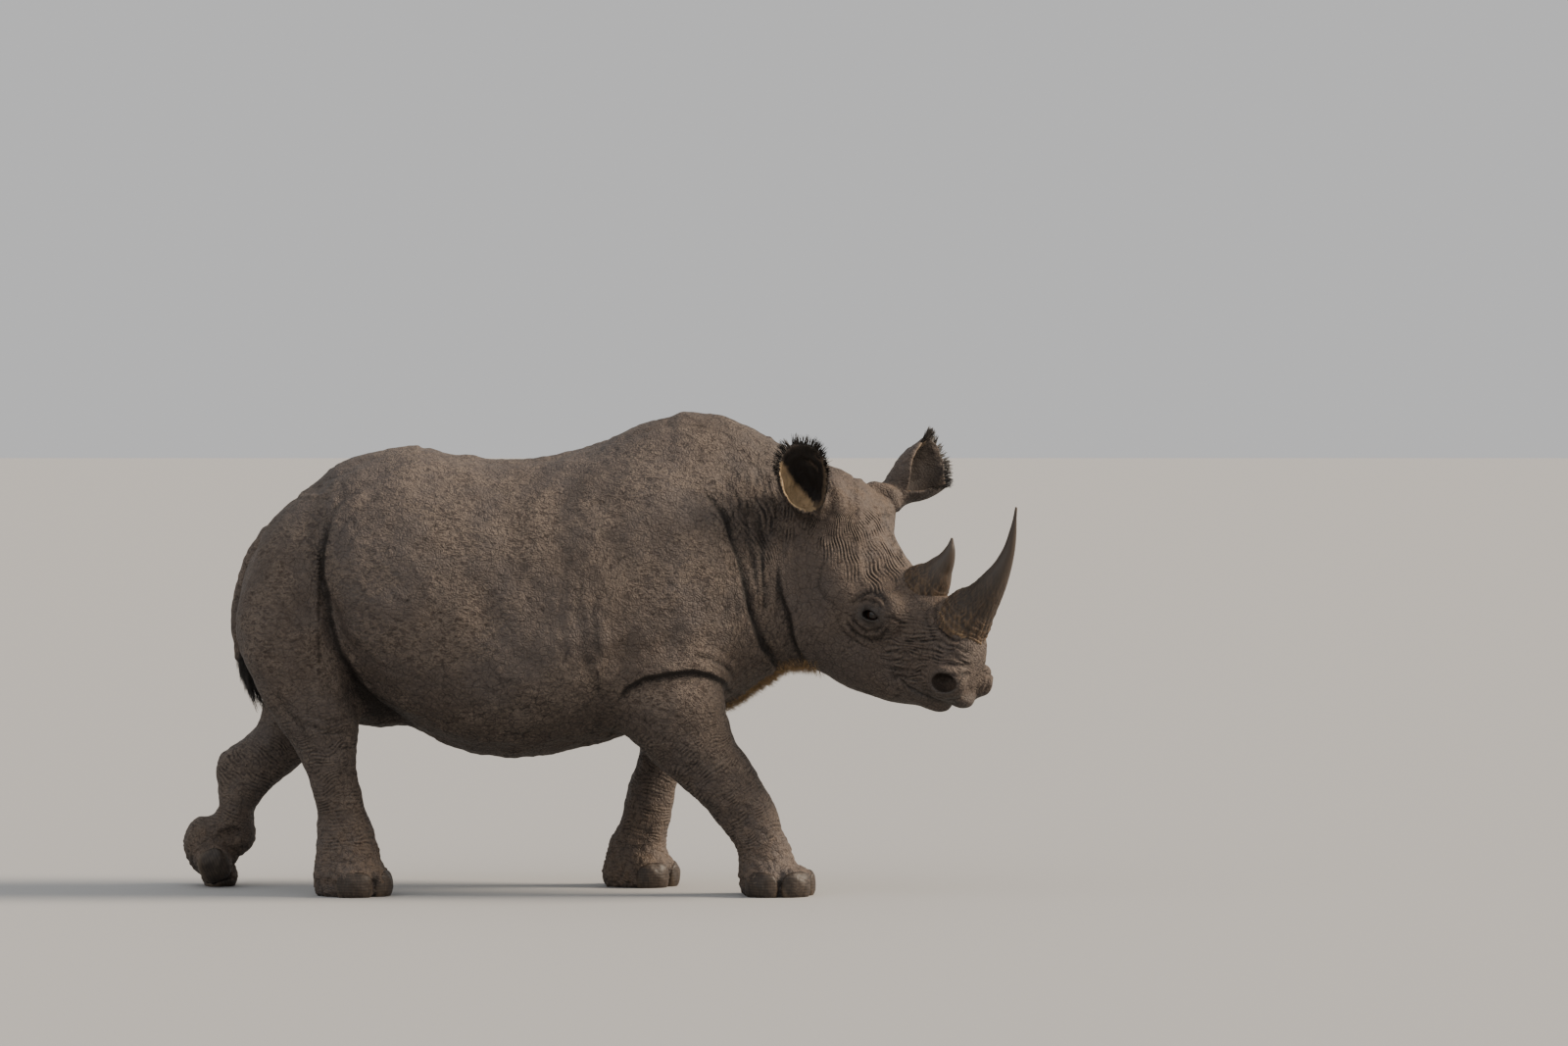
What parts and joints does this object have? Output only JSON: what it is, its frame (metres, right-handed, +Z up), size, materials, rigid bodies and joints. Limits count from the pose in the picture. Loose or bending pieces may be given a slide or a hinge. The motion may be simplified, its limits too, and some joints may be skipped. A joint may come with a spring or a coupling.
{
  "type": "black rhinoceros, still life-size model",
  "caption": "Life-size still model of an adult black rhinoceros in mid-stride, head lowered and turned to its right, standing on its own feet.",
  "frame": {"origin": "on the floor under the middle of the model's box", "axes": "+X towards the head, +Y to the animal's left, +Z up"},
  "size_m": [2.793, 0.9185, 1.6014],
  "materials": {
    "skin": "dry, grey-brown bare hide with fine cracks and folds",
    "horn": "fibrous dark horn, rough at the base and smooth at the tip",
    "nail": "worn, dusty nail",
    "eye": "wet, dark brown",
    "hair": "stiff black hair"
  },
  "bodies": {
    "root": {"head": "skin", "neck": "skin", "trunk": "skin", "tail": "skin", "tail_tuft": "hair", "ear_right": "skin", "ear_left": "skin", "eye_right": "eye", "eye_left": "eye", "horn_front": "horn", "horn_rear": "horn", "foreleg_right": "skin", "nail_foreleg_right_inner": "nail", "nail_foreleg_right_middle": "nail", "nail_foreleg_right_outer": "nail", "foreleg_left": "skin", "nail_foreleg_left_inner": "nail", "nail_foreleg_left_middle": "nail", "nail_foreleg_left_outer": "nail", "hindleg_right": "skin", "nail_hindleg_right_inner": "nail", "nail_hindleg_right_middle": "nail", "nail_hindleg_right_outer": "nail", "hindleg_left": "skin", "nail_hindleg_left_inner": "nail", "nail_hindleg_left_middle": "nail", "nail_hindleg_left_outer": "nail"}
  },
  "joints": []
}
